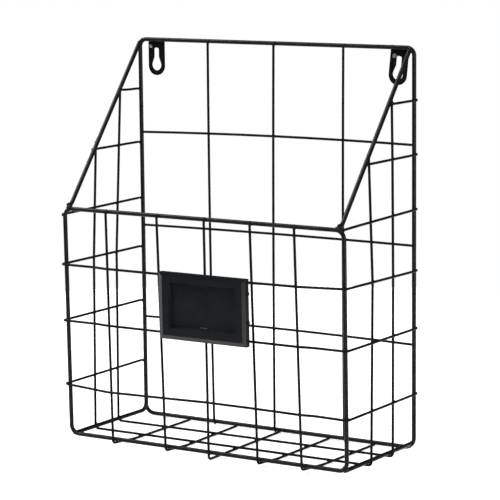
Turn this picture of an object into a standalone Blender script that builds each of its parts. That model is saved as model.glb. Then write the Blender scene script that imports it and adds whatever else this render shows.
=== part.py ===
"""Wall magazine rack: a welded wire basket that hangs on two keyhole plates.

A label holder clips over two of the basket's hoops, and its card slides out at the top.
The rack is drawn with the back frame's wire in the plane y = 0, its bottom bar at z = 0
and the pocket towards -Y. The empty "rack" then brings the middle of the part's base to
the world origin. All lengths are in metres.
"""

import math

import bmesh
import bpy
from mathutils import Matrix, Vector

# Wire and welds
FRAME_WIRE_D = 0.0038
MESH_WIRE_D = 0.0022
WELD_GAP = 0.0003
FRAME_WIRE_FACETS = 6
MESH_WIRE_FACETS = 4
BEND_STEP = math.radians(15)
BOW_STEPS = 8
STRAIGHT = 1e-3

# Back and front frames, measured between wire centres
WIDTH = 0.300
BACK_HEIGHT = 0.3675
BACK_TOP_CORNER_R = 0.0072
BACK_FOOT_CORNER_R = 0.009
FRONT_TOP = 0.218
FRONT_CORNER_R = 0.008
DEPTH_TOP = 0.126
DEPTH_BOTTOM = 0.1224

# Rails that join the two frames
SLANT_FOOT_INSET = 0.0045
SLANT_KNEE_SETBACK = 0.004
SLANT_FOOT_OVERHANG = 0.0015
SLANT_BEND_R = 0.005
BASE_TAIL_BEND_R = 0.008
BASE_TAIL = 0.009

# Back mesh: uprights in shares of the width from the middle, at the top and bottom bars,
# and how far each bows to the left; crossbars in shares of the height, at their left and
# right ends, and how far each bows up
BACK_UPRIGHT_TOPS = (-0.233, 0.011, 0.261)
BACK_UPRIGHT_FEET = (-0.2255, 0.004, 0.259)
BACK_UPRIGHT_BOWS = (0.0010, 0.0007, 0.0008)
BACK_CROSSBARS = ((0.2626, 0.2629), (0.5088, 0.5118), (0.756, 0.762))
BACK_CROSSBAR_BOWS = (0.0016, 0.0009, 0.0018)

# Front wires: shares of the width from the middle, at the top rail, at the bend under
# the bottom bar and at the floor's rear end; how far each bend hangs below a tight wrap;
# the share of the depth from the back frame where it has come down to the floor; and how
# far the floor lies below the back frame
FRONT_WIRE_TOPS = (-0.337, -0.148, 0.023, 0.185, 0.338)
FRONT_WIRE_FEET = (-0.333, -0.135, 0.023, 0.198, 0.352)
FRONT_WIRE_HEELS = (-0.328, -0.147, 0.016, 0.198, 0.361)
FRONT_WIRE_SLACK = (0.0, 0.0, 0.0025, 0.0, 0.0)
FRONT_WIRE_SETTLE = 0.75
FRONT_WIRE_SETTLE_R = 0.020
FLOOR_DROP = 0.0012

# Side wires, left and right: shares of the depth from the back frame, at the floor, at
# the knee beside the upper hoop and at the top
SIDE_WIRE_FEET = {"rear": (0.376, 0.337), "front": (0.684, 0.658)}
SIDE_WIRE_KNEES = {"rear": (0.352, 0.325), "front": (0.647, 0.621)}
SIDE_WIRE_TOPS = {"rear": (0.271, 0.324), "front": (0.605, 0.647)}
SIDE_WIRE_KNEE_R = 0.060
SIDE_WIRE_STUB = 0.0030

# Hoops round the pocket: shares of the front frame's top height, and how far each one
# rises above its level at its left end, its left corner, the five front wires, its right
# corner and its right end
HOOP_UPPER = 0.759
HOOP_LOWER = 0.236
HOOP_RISES = {
    "upper": (0.0, 0.0, 0.0, 0.0, 0.0, 0.0, 0.0004, 0.0018, 0.0),
    "middle": (0.0, 0.0, 0.0, 0.0, 0.0, 0.0, 0.0, 0.0, 0.0),
    "lower": (0.0009, 0.0, -0.0024, -0.0011, 0.0, 0.0, -0.0004, -0.0008, 0.0),
}
HOOP_END_SETBACK = 0.0010
HOOP_RAMP = 0.012
HOOP_RAMP_BEND_R = 0.030

# Short side wires, left and right: shares of the back height for the upper two; drop of
# the lower one's rear end from the front frame's top, and its further fall to the front
SHORT_UPPER = (0.870, 0.873)
SHORT_MIDDLE = (0.729, 0.739)
SHORT_LOWER_DROP = (0.0048, -0.0038)
SHORT_LOWER_FALL = (0.0012, 0.0020)
SHORT_STUB = 0.0025

# Hanger plates with keyholes: the left and right ones' distances in from the back
# frame's sides, and their tilts
HANGER_WIDTH = 0.0183
HANGER_THICKNESS = 0.0015
HANGER_RISE = 0.0010
HANGER_DROP = 0.0345
HANGER_INSETS = (0.0171, 0.0158)
HANGER_TILTS = (0.0, math.radians(6))
KEYHOLE_HEAD_R = 0.0054
KEYHOLE_HEAD_UP = 0.0100
KEYHOLE_SLOT_W = 0.0057
KEYHOLE_SLOT_LENGTH = 0.0164
KEYHOLE_SLOT_CORNER_R = 0.0018
KEYHOLE_NECK_UP = 0.0078
KEYHOLE_NECK_ANGLE = math.radians(24)
PLATE_ARC_STEP = math.radians(7.5)
SLOT_ARC_STEP = math.radians(18)

# Label holder and its card
LABEL_X = 0.0093
LABEL_WIDTH = 0.0930
LABEL_HEIGHT = 0.0613
LABEL_DEPTH = 0.0062
LABEL_BEVEL_WIDTH = 0.0037
LABEL_BEVEL_DROP = 0.0008
LABEL_BACK_WALL = 0.0010
LABEL_WINDOW_W = 0.0730
LABEL_WINDOW_H = 0.0420
LABEL_WINDOW_RAISE = 0.0008
LABEL_WINDOW_DRAFT = 0.0015
TAB_WIDTH = 0.0090
TAB_REACH = 0.0016
TAB_THICKNESS = 0.0012
TAB_TAPER = 0.0010
TAB_ROOT = 0.0020
LABEL_CLIP_INSET = 0.0037
LABEL_CLIP_FOOT = 0.0044
LUG_UPS = (0.0174, -0.0087)
LUG_HEIGHT = 0.0030
LUG_PROUD = 0.0010
LUG_DEPTH = 0.0030
LUG_SETBACK = 0.0005
CLIP_WIDTH = 0.0080
CLIP_WALL = 0.0009
CLIP_MOUTH = 0.0017
ROD_SIDES = 36
CARD_THICKNESS = 0.0008
CARD_LAP = 0.0040
CARD_TOP_DROP = 0.0010
CARD_CLEARANCE = 0.0003

# What follows from the sizes above
FRAME_R = FRAME_WIRE_D / 2
MESH_R = MESH_WIRE_D / 2
FRAME_TO_FRAME = FRAME_WIRE_D + WELD_GAP
FRAME_TO_MESH = FRAME_R + MESH_R + WELD_GAP
MESH_TO_MESH = MESH_WIRE_D + WELD_GAP

FLOOR_WIRE_Z = MESH_R - FRAME_R - FLOOR_DROP
SIDE_FLOOR_Z = FLOOR_WIRE_Z + MESH_TO_MESH
BASE_Z = SIDE_FLOOR_Z + FRAME_TO_MESH

HOOP_X = WIDTH / 2 + FRAME_TO_MESH
UPRIGHT_X = HOOP_X - MESH_TO_MESH
RAIL_X = UPRIGHT_X - FRAME_TO_MESH
RAIL_INSET = WIDTH / 2 - RAIL_X
SLANT_FOOT_X = WIDTH / 2 - SLANT_FOOT_INSET
SLANT_KNEE_Y = SLANT_KNEE_SETBACK - DEPTH_TOP

HOOP_OUT = FRAME_TO_MESH + MESH_TO_MESH
HOOP_UPPER_Z = FRONT_TOP * HOOP_UPPER
HOOP_MIDDLE_Z = HOOP_UPPER_Z - (LABEL_HEIGHT - LABEL_CLIP_INSET - LABEL_CLIP_FOOT)
HOOP_LOWER_Z = FRONT_TOP * HOOP_LOWER
LABEL_Z = HOOP_UPPER_Z + LABEL_CLIP_INSET - LABEL_HEIGHT / 2

LEAN = math.atan2(DEPTH_TOP - DEPTH_BOTTOM, FRONT_TOP - BASE_Z)
LABEL_STANDOFF = MESH_R + WELD_GAP
CARD_SLOT = CARD_THICKNESS + 2 * CARD_CLEARANCE
CARD_WIDTH = LABEL_WINDOW_W + 2 * CARD_LAP
CARD_BOTTOM = LABEL_WINDOW_RAISE - LABEL_WINDOW_H / 2 - CARD_LAP
CARD_TOP = LABEL_HEIGHT / 2 - CARD_TOP_DROP

HANGER_BACK = FRAME_R + WELD_GAP + HANGER_THICKNESS
CUT_PAST = 0.002


def front_y(height):
    """Depth of the front frame's plane at a height: it leans out a little at the top."""
    share = (height - BASE_Z) / (FRONT_TOP - BASE_Z)
    return -(DEPTH_BOTTOM + (DEPTH_TOP - DEPTH_BOTTOM) * share)


def between(first, last, share):
    return first + (last - first) * share


def clear_scene():
    for obj in list(bpy.data.objects):
        bpy.data.objects.remove(obj, do_unlink=True)


def make_material(name, colour, roughness, metallic):
    material = bpy.data.materials.new(name)
    material.use_nodes = True
    shader = material.node_tree.nodes["Principled BSDF"]
    shader.inputs["Base Color"].default_value = (*colour, 1.0)
    shader.inputs["Roughness"].default_value = roughness
    shader.inputs["Metallic"].default_value = metallic
    return material


def add_empty(name, location, parent=None):
    empty = bpy.data.objects.new(name, None)
    empty.location = location
    empty.parent = parent
    bpy.context.scene.collection.objects.link(empty)
    return empty


def add_object(name, data, material, parent):
    data.materials.append(material)
    obj = bpy.data.objects.new(name, data)
    obj.parent = parent
    bpy.context.scene.collection.objects.link(obj)
    return obj


def bend(before, corner, after, radius):
    """Points of the arc that rounds a corner between its neighbours: none if it is straight."""
    to_before = (before - corner).normalized()
    to_after = (after - corner).normalized()
    turn = math.pi - to_before.angle(to_after)
    if turn < STRAIGHT:
        return []
    if radius == 0:
        return [corner]
    tangent = radius * math.tan(turn / 2)
    middle = (to_before + to_after).normalized()
    centre = corner + middle * (radius / math.cos(turn / 2))
    start = corner + to_before * tangent - centre
    axis = start.cross(corner + to_after * tangent - centre).normalized()
    steps = max(1, math.ceil(turn / BEND_STEP))
    turns = (Matrix.Rotation(turn * i / steps, 3, axis) for i in range(steps + 1))
    return [centre + rotation @ start for rotation in turns]


def bent_path(corners, closed):
    """The points of a wire through (corner, bend radius) pairs."""
    places = [Vector(place) for place, _ in corners]
    last = len(places) - 1
    points = []
    for i, (_, radius) in enumerate(corners):
        if not closed and i in (0, last):
            points.append(places[i])
            continue
        after = places[(i + 1) % len(places)]
        points.extend(bend(places[i - 1], places[i], after, radius))
    return points


def bowed(first, last, bow):
    """(corner, bend radius) pairs of a wire that bows sideways between its ends."""
    first, last, bow = Vector(first), Vector(last), Vector(bow)
    shares = [i / BOW_STEPS for i in range(BOW_STEPS + 1)]
    return [(first.lerp(last, share) + bow * (4 * share * (1 - share)), 0.0) for share in shares]


def add_wire(name, corners, diameter, material, parent, closed=False):
    """A round wire bent through (corner, bend radius) pairs, with square cut ends."""
    thick = diameter == FRAME_WIRE_D
    curve = bpy.data.curves.new(name, "CURVE")
    curve.dimensions = "3D"
    curve.bevel_depth = diameter / 2
    curve.bevel_resolution = FRAME_WIRE_FACETS if thick else MESH_WIRE_FACETS
    curve.use_fill_caps = True
    points = bent_path(corners, closed)
    spline = curve.splines.new("POLY")
    spline.points.add(len(points) - 1)
    for spline_point, point in zip(spline.points, points):
        spline_point.co = (*point, 1.0)
    spline.use_cyclic_u = closed
    spline.use_smooth = True
    return add_object(name, curve, material, parent)


def add_frames(material, parent):
    """The two closed frames: the tall back one and the low front one."""
    half = WIDTH / 2
    back = []
    front = []
    for x, upper in ((-half, False), (half, False), (half, True), (-half, True)):
        back_z, back_r = (BACK_HEIGHT, BACK_TOP_CORNER_R) if upper else (0.0, BACK_FOOT_CORNER_R)
        front_z = FRONT_TOP if upper else BASE_Z
        back.append(((x, 0.0, back_z), back_r))
        front.append(((x, front_y(front_z), front_z), FRONT_CORNER_R))
    add_wire("back_frame", back, FRAME_WIRE_D, material, parent, closed=True)
    add_wire("front_frame", front, FRAME_WIRE_D, material, parent, closed=True)


def corner_drop(corner_r):
    """How far a frame's rounded corner lies below its rail, above the inset rails."""
    return corner_r - math.sqrt(corner_r**2 - (corner_r - RAIL_INSET) ** 2)


def add_slant_rails(material, parent):
    """Rails from the back frame's top corners down to feet on the front's top corners."""
    top_y = -FRAME_WIRE_D
    top_z = BACK_HEIGHT - corner_drop(BACK_TOP_CORNER_R)
    reach = FRONT_CORNER_R + FRAME_TO_FRAME
    aside = max(0.0, FRONT_CORNER_R - SLANT_FOOT_INSET)
    foot_z = FRONT_TOP - FRONT_CORNER_R + math.sqrt(reach**2 - aside**2)
    for side, sign in (("left", -1), ("right", 1)):
        corners = (
            ((sign * RAIL_X, top_y, top_z), 0.0),
            ((sign * SLANT_FOOT_X, SLANT_KNEE_Y, foot_z), SLANT_BEND_R),
            ((sign * SLANT_FOOT_X, -DEPTH_TOP - SLANT_FOOT_OVERHANG, foot_z), 0.0),
        )
        add_wire(f"slant_rail_{side}", corners, FRAME_WIRE_D, material, parent)


def add_base_rails(material, parent):
    """Level rails along the floor's sides: the left one's tail runs up the back frame."""
    front_end = front_y(BASE_Z) + FRAME_R + WELD_GAP
    tail_y = -math.sqrt(FRAME_TO_FRAME**2 - RAIL_INSET**2)
    tail_top = BASE_Z + BASE_TAIL_BEND_R + BASE_TAIL
    left = (
        ((-RAIL_X, front_end, BASE_Z), 0.0),
        ((-RAIL_X, tail_y, BASE_Z), BASE_TAIL_BEND_R),
        ((-RAIL_X, tail_y, tail_top), 0.0),
    )
    right = (
        ((RAIL_X, front_end, BASE_Z), 0.0),
        ((RAIL_X, -FRAME_R - WELD_GAP, BASE_Z), 0.0),
    )
    add_wire("base_rail_left", left, FRAME_WIRE_D, material, parent)
    add_wire("base_rail_right", right, FRAME_WIRE_D, material, parent)


def add_back_mesh(material, parent):
    """Uprights in front of the back frame's bars, and crossbars behind the uprights."""
    upright_y = -FRAME_TO_MESH
    uprights = zip(BACK_UPRIGHT_TOPS, BACK_UPRIGHT_FEET, BACK_UPRIGHT_BOWS)
    for i, (top, foot, bow) in enumerate(uprights, start=1):
        first = (WIDTH * top, upright_y, BACK_HEIGHT)
        corners = bowed(first, (WIDTH * foot, upright_y, 0.0), (-bow, 0.0, 0.0))
        add_wire(f"back_upright_{i}", corners, MESH_WIRE_D, material, parent)
    crossbar_y = upright_y + MESH_TO_MESH
    reach = WIDTH / 2 - FRAME_R - WELD_GAP
    for i, ((left, right), bow) in enumerate(zip(BACK_CROSSBARS, BACK_CROSSBAR_BOWS), start=1):
        first = (-reach, crossbar_y, BACK_HEIGHT * left)
        corners = bowed(first, (reach, crossbar_y, BACK_HEIGHT * right), (0.0, 0.0, bow))
        add_wire(f"back_crossbar_{i}", corners, MESH_WIRE_D, material, parent)


def front_wire_x(index, height):
    """Where a front wire crosses a height: it runs slightly out of plumb."""
    share = (height - FLOOR_WIRE_Z) / (FRONT_TOP - FLOOR_WIRE_Z)
    foot = WIDTH * FRONT_WIRE_FEET[index]
    return between(foot, WIDTH * FRONT_WIRE_TOPS[index], share)


def add_front_wires(material, parent):
    """Wires down the front that bend under the bottom bar and run back as the floor."""
    heel_y = -math.sqrt((FRAME_R + WELD_GAP) ** 2 - (FLOOR_WIRE_Z + MESH_R) ** 2)
    for i in range(len(FRONT_WIRE_TOPS)):
        foot_x = front_wire_x(i, FLOOR_WIRE_Z)
        top = (front_wire_x(i, FRONT_TOP), front_y(FRONT_TOP) - FRAME_TO_MESH, FRONT_TOP)
        heel_x = WIDTH * FRONT_WIRE_HEELS[i]
        knee_z = SIDE_FLOOR_Z - FRONT_WIRE_SLACK[i]
        settle_x = between(heel_x, foot_x, FRONT_WIRE_SETTLE)
        corners = (
            (top, 0.0),
            ((foot_x, front_y(BASE_Z) - FRAME_TO_MESH, knee_z), FRAME_TO_MESH),
            ((settle_x, front_y(BASE_Z) * FRONT_WIRE_SETTLE, FLOOR_WIRE_Z), FRONT_WIRE_SETTLE_R),
            ((heel_x, heel_y, FLOOR_WIRE_Z), 0.0),
        )
        add_wire(f"front_wire_{i + 1}", corners, MESH_WIRE_D, material, parent)


def slant_x(y):
    """Distance of the slant rails from the middle plane, at a depth."""
    return between(RAIL_X, SLANT_FOOT_X, y / SLANT_KNEE_Y)


def short_wire_z(place, side):
    """Height of a side's short wire: 0 is the left side and 1 the right."""
    heights = {
        "upper": BACK_HEIGHT * SHORT_UPPER[side],
        "middle": BACK_HEIGHT * SHORT_MIDDLE[side],
        "lower": FRONT_TOP - SHORT_LOWER_DROP[side],
    }
    return heights[place]


def side_wire_top(place, side):
    """A side wire's top, as if on the right: beside the slant, just over a short wire."""
    y = front_y(FRONT_TOP) * SIDE_WIRE_TOPS[place][side]
    short = {"rear": "upper", "front": "middle"}[place]
    return Vector((slant_x(y) + FRAME_TO_MESH, y, short_wire_z(short, side) + SIDE_WIRE_STUB))


def side_wire_knee(place, side):
    """A side wire's knee, as if on the right: inside the upper hoop."""
    y = front_y(HOOP_UPPER_Z) * SIDE_WIRE_KNEES[place][side]
    return Vector((UPRIGHT_X, y, HOOP_UPPER_Z))


def side_wire_at(place, side, height):
    """The point of a side wire at a height above its knee, as if on the right."""
    knee = side_wire_knee(place, side)
    top = side_wire_top(place, side)
    return knee.lerp(top, (height - knee.z) / (top.z - knee.z))


def add_side_wires(material, parent):
    """Wires that cross the floor under the base rails and rise outside the slant rails."""
    for place, foot_shares in SIDE_WIRE_FEET.items():
        halves = []
        for side, sign in enumerate((-1, 1)):
            foot = Vector((UPRIGHT_X, front_y(BASE_Z) * foot_shares[side], SIDE_FLOOR_Z))
            bends = (
                (side_wire_top(place, side), 0.0),
                (side_wire_knee(place, side), SIDE_WIRE_KNEE_R),
                (foot, FRAME_TO_MESH),
            )
            halves.append([((sign * p.x, p.y, p.z), radius) for p, radius in bends])
        left, right = halves
        corners = left + right[::-1]
        add_wire(f"side_wire_{place}", corners, MESH_WIRE_D, material, parent)


def hoop_corners(height, rises):
    """A hoop hugs the front frame's uprights and steps out over the front wires."""
    front = front_y(height)
    near_y = front - FRAME_TO_MESH
    far_y = front - HOOP_OUT
    left_end, left, *over_wires, right, right_end = (height + rise for rise in rises)
    wires = [front_wire_x(i, height) for i in range(len(FRONT_WIRE_TOPS))]
    wires[0] -= MESH_WIRE_D
    wires[-1] += MESH_WIRE_D
    return [
        ((-HOOP_X, -HOOP_END_SETBACK, left_end), 0.0),
        ((-HOOP_X, near_y, left), FRAME_TO_MESH),
        ((wires[0] - HOOP_RAMP, near_y, over_wires[0]), HOOP_RAMP_BEND_R),
        ((wires[0], far_y, over_wires[0]), HOOP_RAMP_BEND_R),
        *(((x, far_y, z), 0.0) for x, z in zip(wires[1:-1], over_wires[1:-1])),
        ((wires[-1], far_y, over_wires[-1]), HOOP_RAMP_BEND_R),
        ((wires[-1] + HOOP_RAMP, near_y, over_wires[-1]), HOOP_RAMP_BEND_R),
        ((HOOP_X, near_y, right), FRAME_TO_MESH),
        ((HOOP_X, -HOOP_END_SETBACK, right_end), 0.0),
    ]


def add_hoops(material, parent):
    heights = {"upper": HOOP_UPPER_Z, "middle": HOOP_MIDDLE_Z, "lower": HOOP_LOWER_Z}
    for place, height in heights.items():
        corners = hoop_corners(height, HOOP_RISES[place])
        add_wire(f"hoop_{place}", corners, MESH_WIRE_D, material, parent)


def short_wire_front(place, side):
    """A short wire's front end, as if on the right, against what it is welded to."""
    z = short_wire_z(place, side)
    if place == "lower":
        return Vector((HOOP_X, front_y(FRONT_TOP), z - SHORT_LOWER_FALL[side]))
    rear = side_wire_at("rear", side, z)
    toe_in = (HOOP_X - rear.x - MESH_TO_MESH) / -rear.y
    y = (rear.y if place == "upper" else side_wire_at("front", side, z).y) - SHORT_STUB
    return Vector((HOOP_X + toe_in * y, y, z))


def add_short_wires(material, parent):
    """Short level wires at each side, from the back frame to the side wires' tops."""
    for side, (name, sign) in enumerate((("left", -1), ("right", 1))):
        for place in ("upper", "middle", "lower"):
            front = short_wire_front(place, side)
            corners = (
                ((sign * HOOP_X, -HOOP_END_SETBACK, short_wire_z(place, side)), 0.0),
                ((sign * front.x, front.y, front.z), 0.0),
            )
            add_wire(f"short_wire_{name}_{place}", corners, MESH_WIRE_D, material, parent)


def arc_points(centre, radius, first, last, step):
    """Points of an arc in the plane, from one angle to another, ends included."""
    steps = max(1, round((last - first) / step))
    angles = (between(first, last, i / steps) for i in range(steps + 1))
    return [
        (centre[0] + radius * math.cos(a), centre[1] + radius * math.sin(a))
        for a in angles
    ]


def hanger_outline():
    """A strip with a square top and a half-round lower end, about the top bar's middle."""
    half = HANGER_WIDTH / 2
    end = arc_points((0.0, half - HANGER_DROP), half, math.pi, 2 * math.pi, PLATE_ARC_STEP)
    return [(half, HANGER_RISE), (-half, HANGER_RISE)] + end


def keyhole_outline():
    """A round head that flares up into a narrower slot."""
    head = (0.0, KEYHOLE_HEAD_UP - HANGER_DROP)
    half = KEYHOLE_SLOT_W / 2
    corner_r = KEYHOLE_SLOT_CORNER_R
    neck_z = head[1] + KEYHOLE_NECK_UP
    slot_top = head[1] + KEYHOLE_SLOT_LENGTH
    turn = KEYHOLE_NECK_ANGLE
    right = (half - corner_r, slot_top - corner_r)
    left = (corner_r - half, slot_top - corner_r)
    return (
        arc_points(head, KEYHOLE_HEAD_R, math.pi - turn, 2 * math.pi + turn, PLATE_ARC_STEP)
        + [(half, neck_z)]
        + arc_points(right, corner_r, 0.0, math.pi / 2, SLOT_ARC_STEP)
        + arc_points(left, corner_r, math.pi / 2, math.pi, SLOT_ARC_STEP)
        + [(-half, neck_z)]
    )


def add_hangers(material, parent):
    """Strips welded behind the top bar, each with a keyhole for a wall screw."""
    for i, (side, sign) in enumerate((("left", -1), ("right", 1))):
        curve = bpy.data.curves.new(f"hanger_{side}", "CURVE")
        curve.dimensions = "2D"
        curve.fill_mode = "BOTH"
        curve.extrude = HANGER_THICKNESS / 2
        for outline in (hanger_outline(), keyhole_outline()):
            spline = curve.splines.new("POLY")
            spline.points.add(len(outline) - 1)
            for spline_point, (across, up) in zip(spline.points, outline):
                spline_point.co = (across, up, 0.0, 1.0)
            spline.use_cyclic_u = True
            spline.use_smooth = False
        plate = add_object(f"hanger_{side}", curve, material, parent)
        x = sign * (WIDTH / 2 - HANGER_INSETS[i])
        plate.location = (x, HANGER_BACK - HANGER_THICKNESS / 2, BACK_HEIGHT)
        plate.rotation_euler = (math.pi / 2, HANGER_TILTS[i], 0.0)


def loft_mesh(name, sections):
    """A solid through rectangles (depth, (left, right), (bottom, top)), back to front."""
    shape = bmesh.new()
    loops = []
    for y, (left, right), (bottom, top) in sections:
        corners = ((left, bottom), (right, bottom), (right, top), (left, top))
        loops.append([shape.verts.new((x, y, z)) for x, z in corners])
    shape.faces.new(loops[0])
    shape.faces.new(loops[-1])
    for near, far in zip(loops, loops[1:]):
        for i in range(len(near)):
            shape.faces.new((near[i - 1], near[i], far[i], far[i - 1]))
    bmesh.ops.recalc_face_normals(shape, faces=shape.faces)
    mesh = bpy.data.meshes.new(name)
    shape.to_mesh(mesh)
    shape.free()
    return mesh


def box_mesh(name, low, high):
    """A box between two corners."""
    across = (low[0], high[0])
    upright = (low[2], high[2])
    return loft_mesh(name, ((high[1], across, upright), (low[1], across, upright)))


def rod_mesh(name, centre, radius, length):
    """A solid rod through a point, along X."""
    shape = bmesh.new()
    bmesh.ops.create_cone(
        shape,
        cap_ends=True,
        segments=ROD_SIDES,
        radius1=radius,
        radius2=radius,
        depth=length,
        matrix=Matrix.Translation(centre) @ Matrix.Rotation(math.pi / 2, 4, "Y"),
    )
    mesh = bpy.data.meshes.new(name)
    shape.to_mesh(mesh)
    shape.free()
    return mesh


def combine(target, mesh, operation, parent):
    """Joins a helper shape to an object, or cuts it away."""
    helper = bpy.data.objects.new(mesh.name, mesh)
    helper.parent = parent
    helper.hide_render = True
    helper.display_type = "WIRE"
    bpy.context.scene.collection.objects.link(helper)
    modifier = target.modifiers.new(mesh.name, "BOOLEAN")
    modifier.operation = operation
    modifier.solver = "EXACT"
    modifier.object = helper


def clip_places():
    """Clip centres across the holder, midway between the front wires behind it."""
    wires = range(1, len(FRONT_WIRE_TOPS) - 1)
    across = [front_wire_x(i, LABEL_Z) - LABEL_X for i in wires]
    return [(a + b) / 2 for a, b in zip(across, across[1:])]


def label_body():
    """The holder's outer block: its front edges fall away in a broad shallow bevel."""
    half_w = LABEL_WIDTH / 2
    half_h = LABEL_HEIGHT / 2
    front_w = half_w - LABEL_BEVEL_WIDTH
    front_h = half_h - LABEL_BEVEL_WIDTH
    sections = (
        (0.0, (-half_w, half_w), (-half_h, half_h)),
        (LABEL_BEVEL_DROP - LABEL_DEPTH, (-half_w, half_w), (-half_h, half_h)),
        (-LABEL_DEPTH, (-front_w, front_w), (-front_h, front_h)),
    )
    return loft_mesh("label_holder", sections)


def add_clips(holder, place):
    """Lugs at the holder's sides, and clips on its back that snap over two hoops."""
    half_w = LABEL_WIDTH / 2
    for row, up in zip(("upper", "lower"), LUG_UPS):
        lug_low = (-half_w - LUG_PROUD, -LUG_SETBACK - LUG_DEPTH, up - LUG_HEIGHT / 2)
        lug_high = (half_w + LUG_PROUD, -LUG_SETBACK, up + LUG_HEIGHT / 2)
        combine(holder, box_mesh(f"lug_{row}", lug_low, lug_high), "UNION", place)

    bore_r = MESH_R + CARD_CLEARANCE
    clip_half = bore_r + CLIP_WALL
    clip_reach = LABEL_STANDOFF + clip_half
    hoops = {
        "upper": (HOOP_UPPER_Z - LABEL_Z) / math.cos(LEAN),
        "lower": (HOOP_MIDDLE_Z - LABEL_Z) / math.cos(LEAN),
    }
    for row, up in hoops.items():
        for column, x in enumerate(clip_places(), start=1):
            name = f"clip_{row}_{column}"
            clip_low = (x - CLIP_WIDTH / 2, -LABEL_BACK_WALL / 2, up - clip_half)
            clip_high = (x + CLIP_WIDTH / 2, clip_reach, min(up + clip_half, LABEL_HEIGHT / 2))
            combine(holder, box_mesh(name, clip_low, clip_high), "UNION", place)
    for row, up in hoops.items():
        bore = rod_mesh(f"hoop_bore_{row}", (0.0, LABEL_STANDOFF, up), bore_r, LABEL_WIDTH)
        combine(holder, bore, "DIFFERENCE", place)
        mouth_low = (-half_w, LABEL_STANDOFF - CLIP_MOUTH / 2, up - clip_half - CUT_PAST)
        mouth_high = (half_w, LABEL_STANDOFF + CLIP_MOUTH / 2, up)
        mouth = box_mesh(f"clip_mouth_{row}", mouth_low, mouth_high)
        combine(holder, mouth, "DIFFERENCE", place)


def add_card_slot(holder, place):
    """The slot that the card drops into, open at the top."""
    slot_half = CARD_WIDTH / 2 + CARD_CLEARANCE
    slot_low = (-slot_half, -LABEL_BACK_WALL - CARD_SLOT, CARD_BOTTOM - CARD_CLEARANCE)
    slot_high = (slot_half, -LABEL_BACK_WALL, LABEL_HEIGHT / 2 + CUT_PAST)
    combine(holder, box_mesh("card_slot", slot_low, slot_high), "DIFFERENCE", place)


def window_section(depth):
    """The window's rectangle at a depth: it narrows from the bezel to the card."""
    inset = LABEL_WINDOW_DRAFT * (LABEL_DEPTH + depth) / (LABEL_DEPTH - LABEL_BACK_WALL - CARD_SLOT)
    half_w = LABEL_WINDOW_W / 2 - inset
    half_h = LABEL_WINDOW_H / 2 - inset
    return depth, (-half_w, half_w), (LABEL_WINDOW_RAISE - half_h, LABEL_WINDOW_RAISE + half_h)


def add_window(holder, place):
    """The window over the card, with a tab at its top and bottom that keeps the card in."""
    slot_front = -LABEL_BACK_WALL - CARD_SLOT
    sections = (window_section(slot_front + CARD_SLOT / 2), window_section(-LABEL_DEPTH - CUT_PAST))
    combine(holder, loft_mesh("window", sections), "DIFFERENCE", place)

    tab_back = slot_front - WELD_GAP
    tab_front = tab_back - TAB_THICKNESS
    back_half = TAB_WIDTH / 2
    front_half = back_half - TAB_TAPER
    bottom, top = window_section(slot_front)[2]
    for end, edge, inward in (("top", top, -1), ("bottom", bottom, 1)):
        root = edge - inward * TAB_ROOT
        back_tip = edge + inward * TAB_REACH
        front_tip = back_tip - inward * TAB_TAPER
        tab = loft_mesh(
            f"tab_{end}",
            (
                (tab_back, (-back_half, back_half), sorted((root, back_tip))),
                (tab_front, (-front_half, front_half), sorted((root, front_tip))),
            ),
        )
        combine(holder, tab, "UNION", place)


def add_label_holder(material, place):
    """A bevelled bezel with a slot for the card and snap clips on its back."""
    holder = add_object("label_holder", label_body(), material, place)
    add_clips(holder, place)
    add_card_slot(holder, place)
    add_window(holder, place)


def add_label_card(material, place):
    """The card that lies in the holder's slot and slides out at the top."""
    back = -LABEL_BACK_WALL - CARD_CLEARANCE
    low = (-CARD_WIDTH / 2, back - CARD_THICKNESS, CARD_BOTTOM)
    high = (CARD_WIDTH / 2, back, CARD_TOP)
    add_object("label_card", box_mesh("label_card", low, high), material, place)


def label_origin():
    """Middle of the holder's back face, which rests on the upper and middle hoops."""
    return Vector((LABEL_X, front_y(LABEL_Z) - HOOP_OUT - LABEL_STANDOFF, LABEL_Z))


def depth_shift():
    """Moves the middle of the part's depth, holder to hangers, onto the origin."""
    bezel_top = LABEL_HEIGHT / 2 - LABEL_BEVEL_WIDTH
    bezel_y = -LABEL_DEPTH * math.cos(LEAN) - bezel_top * math.sin(LEAN)
    return -(label_origin().y + bezel_y + HANGER_BACK) / 2


def main():
    clear_scene()
    coat = make_material("black_powder_coat", (0.012, 0.012, 0.013), 0.38, 0.0)
    plate = make_material("black_coated_plate", (0.014, 0.014, 0.015), 0.42, 0.0)
    plastic = make_material("charcoal_plastic", (0.013, 0.015, 0.018), 0.30, 0.0)
    card = make_material("dark_card", (0.010, 0.012, 0.015), 0.45, 0.0)

    rack = add_empty("rack", (0.0, depth_shift(), MESH_R - FLOOR_WIRE_Z))
    add_frames(coat, rack)
    add_slant_rails(coat, rack)
    add_base_rails(coat, rack)
    add_back_mesh(coat, rack)
    add_front_wires(coat, rack)
    add_side_wires(coat, rack)
    add_hoops(coat, rack)
    add_short_wires(coat, rack)
    add_hangers(plate, rack)

    place = add_empty("label_place", label_origin(), rack)
    place.rotation_euler = (LEAN, 0.0, 0.0)
    add_label_holder(plastic, place)
    add_label_card(card, place)


main()
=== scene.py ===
"""Looks of a wall magazine rack, laid out as an add-on.

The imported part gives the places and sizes. Each coated wire is laid along the centre line
of its own solid, with a few ends drawn on to what they are welded to, and beads are set
wherever two wires meet.
"""

import math

import bmesh
import bpy
import numpy as np
from bpy.props import (
    FloatProperty,
    FloatVectorProperty,
    IntProperty,
    PointerProperty,
)
from bpy.types import Operator, Panel, PropertyGroup
from mathutils import Matrix, Vector, noise


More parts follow.
